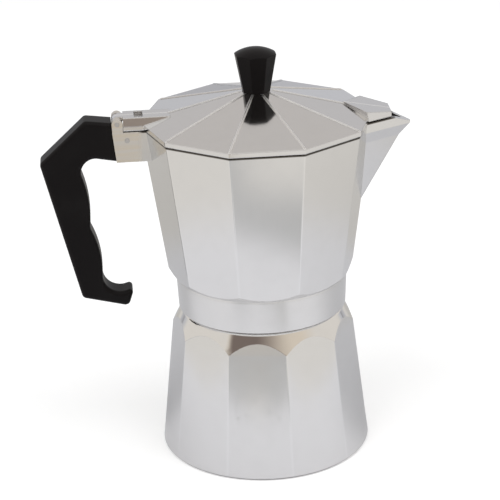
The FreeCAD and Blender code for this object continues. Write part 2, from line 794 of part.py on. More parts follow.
def make_handle():
    """Extrudes the grip's outline, rounds its corners and edges, and cuts the tang's pocket."""
    crest = handle_corner(handle_crest_out, -handle_crest_rise)
    back = handle_corner(handle_back_out, handle_back_drop)
    heel = handle_corner(handle_heel_out, handle_toe_drop - handle_heel_rise)
    toe = handle_corner(-handle_toe_in, handle_toe_drop)
    tip = handle_corner(-hook_tip_in, handle_toe_drop - hook_tip_rise)
    palm_low = handle_corner(palm_low_out, handle_toe_drop - palm_low_rise)
    waist = handle_corner(palm_waist_out, palm_waist_drop)
    palm_high = handle_corner(palm_high_out, lug_depth - throat_lift + palm_high_fall)
    throat = handle_corner(palm_high_out - throat_in, lug_depth - throat_lift)
    face_high = (-face_x(collector_rim + handle_face_rise), collector_rim + handle_face_rise)
    face_low = (-face_x(collector_rim - lug_depth), collector_rim - lug_depth)
    points = [face_high, crest, back, heel, toe, tip, palm_low, waist, palm_high, throat, face_low]
    hook_dip = smooth_bow(tip, palm_low, waist, palm_swell)
    bulges = {5: hook_dip, 6: -palm_swell, 7: -palm_swell, 8: throat_bow}
    grip = slab(points, -handle_half_width, handle_half_width, bulges)
    grip = grip.makeFillet(handle_corner_round, corner_edges(grip, (crest, back, heel, toe)))
    grip = grip.makeFillet(hook_tip_round, corner_edges(grip, (tip,)))
    grip = grip.makeFillet(palm_round, corner_edges(grip, (waist,)))
    grip = grip.makeFillet(palm_round, corner_edges(grip, (palm_high,)))
    grip = grip.makeFillet(palm_round, corner_edges(grip, (throat,)))
    grip = grip.makeFillet(handle_edge_round, side_edges(grip))
    return grip.cut(make_tang(press_gap))


def make_knob():
    """Cuts a tapered prism with a ball, which leaves arched sides, and sinks its insert's pocket."""
    top = lid_crown + knob_height
    spread = (knob_high_corner - knob_low_corner) / (knob_height - knob_dome_rise)
    body = faceted(knob_low_corner, lid_crown, knob_low_corner + spread * knob_height, top,
                   sides=knob_sides, turn=knob_turn - 90.0 + 180.0 / knob_sides,
                   rounding=knob_corner_round)
    ball_radius = 0.5 * (knob_high_corner ** 2 / knob_dome_rise + knob_dome_rise)
    ball = Part.makeSphere(ball_radius, FreeCAD.Vector(0, 0, top - ball_radius))
    pocket = rod(insert_radius + press_gap, lid_crown - 1.0, lid_crown + insert_depth)
    return body.common(ball).cut(pocket)


def make_knob_insert():
    """Makes the threaded bush moulded into the knob."""
    return rod(insert_radius, lid_crown, lid_crown + insert_depth, knob_screw_radius + press_gap)


def make_knob_washer():
    """Makes the washer between the lid's boss and the screw head."""
    return rod(knob_washer_radius, screw_seat, boss_bottom, knob_screw_radius + pocket_gap)


def make_knob_screw():
    """Makes the screw that holds the knob from inside the lid."""
    low = screw_seat - screw_head_height
    head = rod(screw_head_radius, low, screw_seat)
    half = 0.5 * screw_slot_width
    slot = slab([(-screw_head_radius, low), (screw_head_radius, low),
                 (screw_head_radius, low + screw_slot_depth), (-screw_head_radius, low + screw_slot_depth)],
                -half, half)
    return head.cut(slot).fuse(rod(knob_screw_radius, screw_seat, lid_crown + screw_bite))


def make_valve_body():
    """Makes the brass fitting: shank through the wall, flange, hexagon and bore."""
    shank = rod(valve_shank_radius, valve_inner_end, valve_washer_gauge)
    flange = rod(valve_flange_radius, valve_washer_gauge, valve_washer_gauge + valve_flange_gauge)
    head = prism(valve_head_across, valve_washer_gauge + valve_flange_gauge, valve_outer_end)
    bore = rod(valve_bore_radius, valve_seat, valve_outer_end + 1.0)
    inlet = rod(valve_inlet_radius, valve_inner_end - 1.0, valve_seat + 1.0)
    return on_valve_axis(shank.fuse(flange).fuse(head).cut(bore).cut(inlet))


def make_valve_washer():
    """Makes the sealing washer under the valve's flange."""
    bore = valve_shank_radius + run_gap
    return on_valve_axis(rod(valve_flange_radius, 0.0, valve_washer_gauge, bore))


def make_valve_nut():
    """Makes the nut that holds the valve from inside the boiler."""
    nut = prism(valve_nut_across, -boiler_wall - valve_nut_height, -boiler_wall)
    bore = rod(valve_shank_radius + run_gap, -3.0 * boiler_wall, 0.0)
    return on_valve_axis(nut.cut(bore))


def make_valve_poppet():
    """Makes the poppet that closes the inlet, with its stem to the outside."""
    disc = rod(poppet_radius, valve_seat, valve_seat + poppet_gauge)
    stem = rod(poppet_stem_radius, valve_seat, valve_outer_end + poppet_stem_out)
    return on_valve_axis(disc.fuse(stem))


def make_valve_spring():
    """Makes the space of the spring that is wound round the poppet's stem."""
    low = valve_seat + poppet_gauge
    high = valve_outer_end - retainer_gauge
    return on_valve_axis(rod(spring_radius, low, high, spring_radius - spring_gauge))


def make_valve_retainer():
    """Makes the ring that closes the bore behind the spring and guides the stem."""
    low = valve_outer_end - retainer_gauge
    ring = rod(valve_bore_radius - press_gap, low, valve_outer_end, poppet_stem_radius + run_gap)
    return on_valve_axis(ring)


os.makedirs("parts", exist_ok=True)
makers = {
    "boiler": make_boiler,
    "valve_body": make_valve_body,
    "valve_washer": make_valve_washer,
    "valve_nut": make_valve_nut,
    "valve_poppet": make_valve_poppet,
    "valve_spring": make_valve_spring,
    "valve_retainer": make_valve_retainer,
    "funnel": make_funnel,
    "funnel_stem": make_funnel_stem,
    "funnel_filter": make_funnel_filter,
    "gasket": make_gasket,
    "filter_plate": make_filter_plate,
    "collector": make_collector,
    "delivery_column": make_column,
    "handle": make_handle,
    "handle_tang": make_handle_tang,
    "handle_pin": make_handle_pin,
    "hinge_pin": make_hinge_pin,
    "lid": make_lid,
    "knob": make_knob,
    "knob_insert": make_knob_insert,
    "knob_washer": make_knob_washer,
    "knob_screw": make_knob_screw,
}
for node, maker in makers.items():
    shape = maker()
    if not shape.isValid() or len(shape.Solids) != 1:
        raise ValueError(node + " is not one sound solid")
    shape.Solids[0].exportStep("parts/" + node + ".step")
    box = shape.BoundBox
    print(f"{node}: {shape.Volume / 1000.0:.2f} ml, {len(shape.Faces)} faces,"
          f" X {box.XMin:.1f} {box.XMax:.1f}, Y {box.YMin:.1f} {box.YMax:.1f},"
          f" Z {box.ZMin:.1f} {box.ZMax:.1f}")
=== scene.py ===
"""Looks of a stove-top coffee maker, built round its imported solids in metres."""
import json
import logging
import math
from dataclasses import dataclass
from enum import Enum
from typing import Any

import bmesh
import bpy
import numpy as np
from mathutils import Matrix, Vector


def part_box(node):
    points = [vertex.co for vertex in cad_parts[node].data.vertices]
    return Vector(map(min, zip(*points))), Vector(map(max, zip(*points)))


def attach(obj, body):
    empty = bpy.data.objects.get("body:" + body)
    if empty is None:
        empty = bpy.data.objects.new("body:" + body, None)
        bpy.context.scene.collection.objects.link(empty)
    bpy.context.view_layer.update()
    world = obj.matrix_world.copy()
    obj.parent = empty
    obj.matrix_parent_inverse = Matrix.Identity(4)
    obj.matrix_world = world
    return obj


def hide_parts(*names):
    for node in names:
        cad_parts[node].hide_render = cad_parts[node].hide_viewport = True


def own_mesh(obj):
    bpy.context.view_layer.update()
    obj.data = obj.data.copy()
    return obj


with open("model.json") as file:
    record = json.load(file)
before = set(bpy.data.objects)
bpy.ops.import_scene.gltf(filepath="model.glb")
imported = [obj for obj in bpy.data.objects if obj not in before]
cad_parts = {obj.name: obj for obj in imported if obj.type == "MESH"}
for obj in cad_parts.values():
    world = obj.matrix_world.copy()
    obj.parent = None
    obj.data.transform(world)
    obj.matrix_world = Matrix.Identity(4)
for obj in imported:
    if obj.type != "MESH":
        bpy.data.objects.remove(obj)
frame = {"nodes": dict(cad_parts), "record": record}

LOG = logging.getLogger("coffee_maker")
MM = 0.001
TURN = 2.0 * math.pi
NOISE_MIDDLE = 0.5
Colour = tuple[float, float, float]
Point = tuple[float, float, float]
Step = tuple[float, float]
Span = tuple[float, float, float, float]


class Wire:
    """A value on a shader graph that takes part in Python arithmetic."""

    def __init__(self, graph: "Graph", socket: bpy.types.NodeSocket) -> None:
        """Wraps one output socket of a graph."""
        self.graph = graph
        self.socket = socket

    def _math(self, operation: str, first: Any, second: Any) -> "Wire":
        """Adds a Math node for an operation on two values."""
        return self.graph.node("ShaderNodeMath", {"operation": operation}, {0: first, 1: second})

    def __add__(self, other: Any) -> "Wire":
        """Adds a value."""
        return self._math("ADD", self, other)

    def __radd__(self, other: Any) -> "Wire":
        """Adds to a value."""
        return self._math("ADD", other, self)

    def __sub__(self, other: Any) -> "Wire":
        """Takes a value off."""
        return self._math("SUBTRACT", self, other)

    def __rsub__(self, other: Any) -> "Wire":
        """Takes this off a value."""
        return self._math("SUBTRACT", other, self)

    def __mul__(self, other: Any) -> "Wire":
        """Multiplies by a value."""
        return self._math("MULTIPLY", self, other)

    def __rmul__(self, other: Any) -> "Wire":
        """Multiplies a value."""
        return self._math("MULTIPLY", other, self)

    def __truediv__(self, other: Any) -> "Wire":
        """Divides by a value."""
        return self._math("DIVIDE", self, other)

    def __rtruediv__(self, other: Any) -> "Wire":
        """Divides a value by this."""
        return self._math("DIVIDE", other, self)

    def __pow__(self, other: Any) -> "Wire":
        """Raises to a power."""
        return self._math("POWER", self, other)

    def above(self, low: float, high: float) -> "Wire":
        """Gives 0 below low and 1 above high, with a smooth step between.

        Args:
            low: value where the step starts.
            high: value where the step ends.

        Returns:
            The step as a value from 0 to 1.
        """
        settings = {"interpolation_type": "SMOOTHSTEP"}
        return self.graph.node("ShaderNodeMapRange", settings,
                               {"Value": self, "From Min": low, "From Max": high})

    def below(self, low: float, high: float) -> "Wire":
        """Gives 1 below low and 0 above high, with a smooth step between."""
        return 1.0 - self.above(low, high)

    def within(self, span: Span) -> "Wire":
        """Gives 1 inside a span: it rises over the span's first two values and falls over its last two."""
        return self.above(*span[:2]) * self.below(*span[2:])

    def between(self, low: float, high: float) -> "Wire":
        """Carries a mask from 0 to 1 over to low to high."""
        return low + (high - low) * self

    def capped(self) -> "Wire":
        """Brings a sum of masks back to 0 to 1."""
        return self.above(0.0, 1.0)

    def swing(self, middle: float) -> "Wire":
        """Gives the distance from a middle value, on either side."""
        return ((self - middle) * (self - middle)) ** 0.5


class Lines(Enum):
    """Ways that finishing lines run over a metal surface; the value stretches noise along them."""

    UPRIGHT = (1.0, 1.0, 0.03)
    LEVEL = (0.03, 1.0, 1.0)
    TURNED = (1.0, 0.0, 1.0)


class Graph:
    """The node tree of one material or of the world."""

    def __init__(self, tree: bpy.types.NodeTree) -> None:
        """Takes over a node tree and empties it."""
        self.tree = tree
        tree.nodes.clear()

    def node(self, kind: str, settings: dict[str, Any], sockets: dict[Any, Any],
             output: Any = 0) -> Wire:
        """Adds a node, sets it up and links it.

        Args:
            kind: Blender's node type.
            settings: properties to set first.
            sockets: input sockets by name or number, with a value or a Wire for each.
            output: the output socket to give back, by name or number.

        Returns:
            That output as a Wire.
        """
        made = self.tree.nodes.new(kind)
        for key, value in settings.items():
            setattr(made, key, value)
        for key, value in sockets.items():
            if isinstance(value, Wire):
                self.tree.links.new(value.socket, made.inputs[key])
            else:
                made.inputs[key].default_value = value
        return Wire(self, made.outputs[output]) if made.outputs else Wire(self, None)

    def mix(self, share: Any, first: Any, second: Any) -> Wire:
        """Mixes two colours by a share from 0 to 1."""
        first, second = ((*c, 1.0) if isinstance(c, tuple) else c for c in (first, second))
        return self.node("ShaderNodeMix", {"data_type": "RGBA"}, {0: share, 6: first, 7: second}, 2)

    def place(self) -> Wire:
        """Gives the place on the piece, in metres."""
        return self.node("ShaderNodeTexCoord", {}, {}, "Object")

    def facing(self) -> Wire:
        """Gives the way that the surface faces on the piece."""
        return self.node("ShaderNodeTexCoord", {}, {}, "Normal")

    def axes(self, vector: Wire) -> tuple[Wire, Wire, Wire]:
        """Splits a vector into X, Y and Z."""
        first = self.node("ShaderNodeSeparateXYZ", {}, {0: vector})
        return tuple(Wire(self, first.socket.node.outputs[n]) for n in range(3))

    def outward(self, place: Wire) -> Wire:
        """Measures how far the surface faces away from the Z axis.

        Args:
            place: the place on the piece.

        Returns:
            A value from -1 on an inner wall to 1 on an outer one.
        """
        x, y, _ = self.axes(place)
        face_x, face_y, _ = self.axes(self.facing())
        return (face_x * x + face_y * y) / (x * x + y * y) ** 0.5

    def noise(self, place: Wire, scale: float, stretch: Point = (1.0, 1.0, 1.0),
              detail: float = 3.0) -> Wire:
        """Gives cloudy noise from 0 to 1.

        Args:
            place: where the noise is read.
            scale: cells per metre.
            stretch: factor on each axis, under 1 for long streaks.
            detail: number of finer layers.

        Returns:
            The noise as a value.
        """
        spread = self.node("ShaderNodeVectorMath", {"operation": "MULTIPLY"}, {0: place, 1: stretch})
        return self.node("ShaderNodeTexNoise", {}, {"Vector": spread, "Scale": scale, "Detail": detail})

    def lines(self, place: Wire, kind: Lines, scale: float) -> Wire:
        """Draws fine finishing lines; turned ones run round the Z axis.

        Args:
            place: the place on the piece.
            kind: the way that the lines run.
            scale: lines per metre.

        Returns:
            The lines as a value from 0 to 1.
        """
        if kind is Lines.TURNED:
            x, y, z = self.axes(place)
            place = self.node("ShaderNodeCombineXYZ", {}, {0: (x * x + y * y) ** 0.5, 2: z})
        return self.noise(place, scale, kind.value, 2.0)

    def spokes(self, place: Wire, count: int, turn: float) -> tuple[Wire, Wire]:
        """Measures from even spokes round the Z axis, which run to the corners of a regular shape.

        The angle round Z, less the turn and counted in steps, keeps only what it lacks to the nearest whole
        step. The distance from the spoke is the radius times the sine of that angle, and the distance out to
        the side of the shape is the radius times the cosine of half a step less that angle.

        Args:
            place: the place on the piece.
            count: number of spokes.
            turn: angle of the first spoke from X, in radians.

        Returns:
            The distances from the nearest spoke and out to the side, in metres.
        """
        x, y, _ = self.axes(place)
        steps = (self.node("ShaderNodeMath", {"operation": "ARCTAN2"}, {0: y, 1: x}) - turn) / (TURN / count)
        lack = self.node("ShaderNodeMath", {"operation": "PINGPONG"}, {0: steps, 1: 0.5}) * (TURN / count)
        radius = (x * x + y * y) ** 0.5
        aside = self.node("ShaderNodeMath", {"operation": "SINE"}, {0: lack})
        out = self.node("ShaderNodeMath", {"operation": "COSINE"}, {0: 0.5 * TURN / count - lack})
        return radius * aside, radius * out

    def bump(self, height: Wire, depth: float, edge: float) -> Wire:
        """Turns a height into a normal for a depth, with edges softened over a width, in metres."""
        soft = self.node("ShaderNodeBevel", {"samples": 4}, {"Radius": edge})
        return self.node("ShaderNodeBump", {}, {"Height": height, "Distance": depth, "Normal": soft})


@dataclass(frozen=True)
class Finish:
    """A surface finish, made once as a material under its own name."""

    name: str

    def material(self) -> bpy.types.Material:
        """Gives the material, and makes it the first time.

        Returns:
            The material under the finish's name.
        """
        made = bpy.data.materials.get(self.name)
        if made is None:
            made = bpy.data.materials.new(self.name)
            made.use_nodes = True
            graph = Graph(made.node_tree)
            graph.node("ShaderNodeOutputMaterial", {}, {"Surface": self.shader(graph)})
        return made

    def shader(self, graph: Graph) -> Wire:
        """Builds the shader of the finish; each finish has its own."""
        raise NotImplementedError


@dataclass(frozen=True)
class Metal(Finish):
    """A metal surface with cloudy polish and fine finishing lines; lengths in metres."""

    colour: Colour
    dull: Colour
    roughness: float
    lines: Lines = Lines.TURNED
    spread: float = 0.04
    line_scale: float = 1400.0
    line_depth: float = 1.2e-6
    edge: float = 0.25e-3
    cloud_scale: float = 170.0
    cloud_step: Step = (0.4, 0.8)
    cloud_share: float = 0.12

    def regions(self, graph: Graph, place: Wire) -> tuple[Any, Any, Wire]:
        """Gives the base roughness, the share of dull metal and the finishing lines at a place.

        Args:
            graph: the graph to build in.
            place: the place on the piece.

        Returns:
            Roughness, share of the dull colour, and lines from 0 to 1.
        """
        return self.roughness, 0.0, graph.lines(place, self.lines, self.line_scale)

    def tint(self, graph: Graph, place: Wire, colour: Wire) -> Wire:
        """Gives the colour as it is; a piece with stains changes it."""
        return colour

    def shader(self, graph: Graph) -> Wire:
        """Builds the metal: clouds dull it a little, and lines roughen it.

        Args:
            graph: the graph to build in.

        Returns:
            The shader.
        """
        place = graph.place()
        roughness, dull, lines = self.regions(graph, place)
        cloud = graph.noise(place, self.cloud_scale, detail=4.0)
        share = self.cloud_share * cloud.above(*self.cloud_step) + dull
        colour = self.tint(graph, place, graph.mix(share, self.colour, self.dull))
        roughness = roughness + (cloud - NOISE_MIDDLE) * self.spread + (lines - NOISE_MIDDLE) * self.spread
        return graph.node("ShaderNodeBsdfPrincipled", {}, {
            "Base Color": colour, "Metallic": 1.0, "Roughness": roughness,
            "Normal": graph.bump(lines, self.line_depth, self.edge)})


@dataclass(frozen=True)
class FacetedMetal(Metal):
    """A faceted casting with a dull inside and painted highlights on its outer corners."""

    inside_roughness: float = 0.36
    inside_facing: Step = (-0.3, -0.1)
    floor_facing: Step = (0.5, 0.8)
    floor_level: Step = (0.1, 0.11)
    corners: int = 10
    corner_turn: float = 0.0
    corner_width: Step = (0.2e-3, 0.8e-3)
    corner_facing: Step = (0.2, 0.6)
    # painted highlight along the outer corners between the facets: its share and colour
    corner_highlight_share: float = 0.25
    painted_corner_highlight: Colour = (0.9, 0.9, 0.895)

    def inside(self, graph: Graph, place: Wire) -> Wire:
        """Finds the inside: walls that face the axis, and the floor between them.

        Args:
            graph: the graph to build in.
            place: the place on the piece.

        Returns:
            1 inside and 0 outside.
        """
        _, _, z = graph.axes(place)
        _, _, face_z = graph.axes(graph.facing())
        floor = face_z.above(*self.floor_facing) * z.below(*self.floor_level)
        return (graph.outward(place).below(*self.inside_facing) + floor).capped()

    def corner(self, graph: Graph, place: Wire) -> Wire:
        """Finds the outer corners between the facets."""
        aside, _ = graph.spokes(place, self.corners, self.corner_turn)
        return aside.below(*self.corner_width) * graph.outward(place).above(*self.corner_facing)


@dataclass(frozen=True)
class BoilerMetal(FacetedMetal):
    """The boiler's casting: satin facets, a bright shoulder, a dull inside and a turned foot."""

    inside_roughness: float = 0.42
    inside_dull: float = 0.7
    floor_level: Step = (0.02, 0.03)
    corner_turn: float = math.radians(27.5)
    corner_highlight_share: float = 0.22
    corner_lean: Step = (0.22, 0.3)
    shoulder_polish: float = 0.06
    shoulder_lean: Step = (0.22, 0.36)
    shoulder_level: Step = (0.058, 0.0595)
    foot_lean: Step = (-0.6, -0.4)
    neck_level: Step = (0.0706, 0.0708)

    def regions(self, graph: Graph, place: Wire) -> tuple[Any, Any, Wire]:
        """Finds shoulder, inside, foot and neck from place and the way that the surface faces.

        Args:
            graph: the graph to build in.
            place: the place on the piece.

        Returns:
            Roughness, share of the dull colour, and lines from 0 to 1.
        """
        _, _, z = graph.axes(place)
        _, _, face_z = graph.axes(graph.facing())
        shoulder = face_z.above(*self.shoulder_lean) * z.above(*self.shoulder_level)
        inside = self.inside(graph, place)
        turned = (face_z.below(*self.foot_lean) + z.above(*self.neck_level) + inside).capped()
        roughness = self.roughness + shoulder * (self.shoulder_polish - self.roughness)
        roughness = roughness + inside * (self.inside_roughness - self.roughness)
        upright = graph.lines(place, Lines.UPRIGHT, self.line_scale)
        rings = graph.lines(place, Lines.TURNED, self.line_scale)
        return roughness, inside * self.inside_dull, upright + turned * (rings - upright)

    def tint(self, graph: Graph, place: Wire, colour: Wire) -> Wire:
        """Paints highlights on the corners between the facets.

        Args:
            graph: the graph to build in.
            place: the place on the piece.
            colour: the metal's colour.

        Returns:
            The colour with painted highlights on the corners.
        """
        _, _, face_z = graph.axes(graph.facing())
        corner = self.corner(graph, place) * face_z.below(*self.corner_lean)
        # painted highlight along the corners between the facets
        return graph.mix(corner * self.corner_highlight_share, colour, self.painted_corner_highlight)


@dataclass(frozen=True)
class CollectorMetal(FacetedMetal):
    """The collector's casting: satin facets, a smooth collar, a brushed lug and a dull inside."""

    inside_dull: float = 0.6
    corner_level: Step = (0.0872, 0.09)
    collar_roughness: float = 0.24
    collar_level: Step = (0.0868, 0.0872)
    lug_roughness: float = 0.3
    lug_reach: Step = (-0.0555, -0.0525)
    brushed: Colour = (0.77, 0.7, 0.58)
    brush_scale: float = 700.0
    brush_step: Step = (0.3, 0.7)
    brush_share: Step = (0.35, 0.85)
    # painted shade: a dark line on the rim's outer edge, standing in for the shadowed gap under the lid
    rim_level: Span = (0.16, 0.1604, 0.1609, 0.1611)
    rim_edge: Step = (0.05, 0.0504)
    rim_share: Step = (0.3, 1.0)
    painted_rim_shade: Colour = (0.1, 0.09, 0.08)

    def lug(self, graph: Graph, place: Wire) -> Wire:
        """Finds the lug, on the handle's side of the jug."""
        x, _, _ = graph.axes(place)
        return x.below(*self.lug_reach)

    def regions(self, graph: Graph, place: Wire) -> tuple[Any, Any, Wire]:
        """Finds collar, lug and inside from place and the way that the surface faces.

        Args:
            graph: the graph to build in.
            place: the place on the piece.

        Returns:
            Roughness, share of the dull colour, and lines from 0 to 1.
        """
        _, _, z = graph.axes(place)
        lug = self.lug(graph, place)
        inside = self.inside(graph, place) * (1.0 - lug)
        collar = z.below(*self.collar_level)
        roughness = self.roughness + collar * (self.collar_roughness - self.roughness)
        roughness = roughness + lug * (self.lug_roughness - self.roughness)
        roughness = roughness + inside * (self.inside_roughness - self.roughness)
        upright = graph.lines(place, Lines.UPRIGHT, self.line_scale)
        level = graph.lines(place, Lines.LEVEL, self.line_scale)
        return roughness, inside * self.inside_dull, upright + lug * (level - upright)

    def tint(self, graph: Graph, place: Wire, colour: Wire) -> Wire:
        """Paints corner highlights and a shade line on the rim's edge, and streaks the brushed lug yellow.

        Args:
            graph: the graph to build in.
            place: the place on the piece.
            colour: the metal's colour.

        Returns:
            The colour with all three.
        """
        _, _, z = graph.axes(place)
        lug = self.lug(graph, place)
        corner = self.corner(graph, place) * z.above(*self.corner_level)
        # painted highlight along the corners, kept off the lug
        colour = graph.mix(corner * (1.0 - lug) * self.corner_highlight_share, colour, self.painted_corner_highlight)
        streak = graph.lines(place, Lines.LEVEL, self.brush_scale).above(*self.brush_step)
        colour = graph.mix(streak.between(*self.brush_share) * lug, colour, self.brushed)
        _, out = graph.spokes(place, self.corners, self.corner_turn)
        # painted shade: a dark line on the rim's outer edge where the gap under the lid lies
        rim = z.within(self.rim_level) * out.above(*self.rim_edge).between(*self.rim_share)
        return graph.mix(rim * (1.0 - lug), colour, self.painted_rim_shade)


@dataclass(frozen=True)
class LidMetal(Metal):
    """The lid's casting: a bright roof with painted highlights on its rib edges and a dull inside."""

    inside_roughness: float = 0.4
    inside_dull: float = 0.6
    inside_facing: Step = (-0.4, -0.2)
    ribs: int = 10
    rib_roughness: float = 0.4
    rib_width: Step = (0.45e-3, 0.8e-3)
    rib_groove: Step = (0.05e-3, 0.25e-3)
    rib_groove_share: Step = (0.5, 1.0)
    rib_facing: Step = (0.1, 0.3)
    # painted highlight on the edges of the ribs
    painted_rib_highlight: Colour = (0.97, 0.965, 0.955)

    def rib_edges(self, graph: Graph, place: Wire) -> Wire:
        """Finds the ribs on top of the roof, strongest at their two edges.

        Args:
            graph: the graph to build in.
            place: the place on the piece.

        Returns:
            The ribs as a value from 0 to 1.
        """
        _, _, face_z = graph.axes(graph.facing())
        aside, _ = graph.spokes(place, self.ribs, 0.0)
        light = aside.above(*self.rib_groove).between(*self.rib_groove_share)
        return light * aside.below(*self.rib_width) * face_z.above(*self.rib_facing)

    def regions(self, graph: Graph, place: Wire) -> tuple[Any, Any, Wire]:
        """Finds the inside from the way that the surface faces, and the ribs.

        Args:
            graph: the graph to build in.
            place: the place on the piece.

        Returns:
            Roughness, share of the dull colour, and lines from 0 to 1.
        """
        _, _, face_z = graph.axes(graph.facing())
        inside = face_z.below(*self.inside_facing)
        roughness = self.roughness + inside * (self.inside_roughness - self.roughness)
        roughness = roughness + self.rib_edges(graph, place) * (self.rib_roughness - self.roughness)
        return roughness, inside * self.inside_dull, graph.lines(place, Lines.TURNED, self.line_scale)

    def tint(self, graph: Graph, place: Wire, colour: Wire) -> Wire:
        """Paints highlights on the edges of the ribs."""
        # painted highlight along the rib edges
        return graph.mix(self.rib_edges(graph, place), colour, self.painted_rib_highlight)


@dataclass(frozen=True)
class Plastic(Finish):
    """Moulded plastic or rubber with a fine grain and faint clouds; lengths in metres."""

    colour: Colour
    pale: Colour
    roughness: float
    specular: float
    spread: float = 0.12
    cloud_scale: float = 60.0
    cloud_step: Step = (0.4, 0.8)
    grain_scale: float = 2600.0
    grain_depth: float = 4.0e-6
    edge: float = 0.5e-3

    def shader(self, graph: Graph) -> Wire:
        """Builds the moulding: clouds change colour and gloss, grain gives a faint bump.

        Args:
            graph: the graph to build in.

        Returns:
            The shader.
        """
        place = graph.place()
        grain = graph.noise(place, self.grain_scale, detail=2.0)
        cloud = graph.noise(place, self.cloud_scale)
        colour = graph.mix(cloud.above(*self.cloud_step), self.colour, self.pale)
        roughness = self.roughness + (cloud - NOISE_MIDDLE) * self.spread
        return graph.node("ShaderNodeBsdfPrincipled", {}, {
            "Base Color": colour, "Roughness": roughness, "Specular IOR Level": self.specular,
            "Normal": graph.bump(grain, self.grain_depth, self.edge)})


BRIGHT = (0.76, 0.755, 0.745)
GREY = (0.62, 0.615, 0.605)
BOILER_METAL = BoilerMetal("boiler_casting", BRIGHT, GREY, 0.16, edge=0.5e-3)
COLLECTOR_METAL = CollectorMetal("collector_casting", BRIGHT, GREY, 0.16)
LID_METAL = LidMetal("lid_casting", (0.74, 0.735, 0.73), GREY, 0.09, edge=0.8e-3)
CAST = Metal("turned_casting", BRIGHT, GREY, 0.28)
PRESSED = Metal("pressed_aluminium", (0.74, 0.74, 0.73), (0.66, 0.66, 0.65), 0.3)
BRASS = Metal("turned_brass", (0.71, 0.52, 0.24), (0.6, 0.43, 0.2), 0.24)
STEEL = Metal("plain_steel", (0.6, 0.59, 0.58), (0.5, 0.49, 0.48), 0.28)
BLACK = Plastic("black_moulding", (0.0055, 0.0045, 0.0047), (0.008, 0.0068, 0.0068), 0.36, 0.11)
RUBBER = Plastic("pale_rubber", (0.72, 0.7, 0.64), (0.78, 0.76, 0.7), 0.6, 0.3)


def surface(name: str, points: np.ndarray, ring: bool) -> bpy.types.Object:
    """Puts a grid of points into a closed mesh.

    Row i and column j of the grid join row i+1 and column j+1, and the last column joins the first. The rows
    close into a ring, or flat ends close the first and the last row.

    Args:
        name: name of the piece.
        points: rows by columns by 3, in metres.
        ring: whether the last row joins the first.

    Returns:
        The new object, smooth, with its faces outwards.
    """
    rows, columns = points.shape[:2]
    index = np.arange(rows * columns).reshape(rows, columns)
    index = np.concatenate((index, index[:, :1]), axis=1)
    if ring:
        index = np.concatenate((index, index[:1]), axis=0)
    quads = np.stack((index[:-1, :-1], index[1:, :-1], index[1:, 1:], index[:-1, 1:]), axis=-1)
    faces = quads.reshape(-1, 4).tolist()
    if not ring:
        faces += [index[0, :-1].tolist(), index[-1, :-1].tolist()]
    mesh = bpy.data.meshes.new(name)
    mesh.from_pydata(points.reshape(-1, 3).tolist(), [], faces)
    work = bmesh.new()
    work.from_mesh(mesh)
    bmesh.ops.recalc_face_normals(work, faces=work.faces)
    work.to_mesh(mesh)
    work.free()
    mesh.polygons.foreach_set("use_smooth", np.ones(len(mesh.polygons), dtype=bool))
    made = bpy.data.objects.new(name, mesh)
    bpy.context.scene.collection.objects.link(made)
    return made


def round_section(width: float, height: float, rounding: float, corner_steps: int = 5) -> np.ndarray:
    """Gives a rectangle with rounded corners as points about its middle.

    Each corner's middle is the rectangle's corner less the rounding on both sides, and its points lie at the
    rounding from there over a quarter turn.

    Args:
        width: size along the first axis.
        height: size along the second axis.
        rounding: radius of the corners.
        corner_steps: points on each corner.

    Returns:
        Points by 2, counter-clockwise.
    """
    quarter = np.repeat(np.arange(4), corner_steps)
    angle = 0.25 * TURN * (quarter + np.tile(np.linspace(0.0, 1.0, corner_steps), 4))
    signs = np.array(((1.0, 1.0), (-1.0, 1.0), (-1.0, -1.0), (1.0, -1.0)))[quarter]
    middles = signs * (np.array((width, height)) * 0.5 - rounding)
    return middles + rounding * np.stack((np.cos(angle), np.sin(angle)), axis=1)


def turned_ring(section: np.ndarray, radius: float, height: float, steps: int = 128) -> np.ndarray:
    """Carries a section of radius and height offsets round the Z axis.

    A point at angle t lies at radius plus its first offset from the axis, and at height plus its second.

    Args:
        section: points by 2.
        radius: radius of the section's middle.
        height: height of the section's middle.
        steps: sections round the ring.

    Returns:
        Steps by points by 3.
    """
    angle = np.linspace(0.0, TURN, steps, endpoint=False)[:, None]
    reach = radius + section[None, :, 0]
    level = np.broadcast_to(height + section[None, :, 1], (steps, len(section)))
    return np.stack((reach * np.cos(angle), reach * np.sin(angle), level), axis=-1)


def thread_ridge(radius: float, depth: float, pitch: float, low: float, turns: float,
                 steps: int = 96) -> np.ndarray:
    """Carries a rounded ridge along a helix, as on a coarse thread.

    At angle t the ridge's foot lies at the radius and its crest at radius plus depth, both at height low plus
    pitch times t over a turn. The crest sinks to the foot, and the ridge narrows, over the first and last
    eighth of a turn. Points round the section lie at shares of the depth and of the pitch.

    Args:
        radius: radius of the ridge's foot.
        depth: height of the ridge, under 0 for one that stands inwards.
        pitch: rise in one turn.
        low: height at the start.
        turns: number of turns.
        steps: sections in a turn.

    Returns:
        Sections by 8 by 3.
    """
    share = np.array((-0.15, 0.0, 0.35, 0.85, 1.0, 0.85, 0.35, 0.0))
    across = np.array((0.0, -0.34, -0.26, -0.16, 0.0, 0.16, 0.26, 0.34)) * pitch
    angle = np.linspace(0.0, TURN * turns, int(steps * turns) + 1)[:, None]
    run_out, least_fade, end_width = 0.125 * TURN, 0.04, 0.3
    fade = np.clip(np.minimum(angle, TURN * turns - angle) / run_out, least_fade, 1.0)
    fade = fade * fade * (3.0 - 2.0 * fade)
    reach = radius + depth * share[None, :] * fade
    level = low + pitch * angle / TURN + across[None, :] * (end_width + (1.0 - end_width) * fade)
    return np.stack((reach * np.cos(angle), reach * np.sin(angle), level), axis=-1)


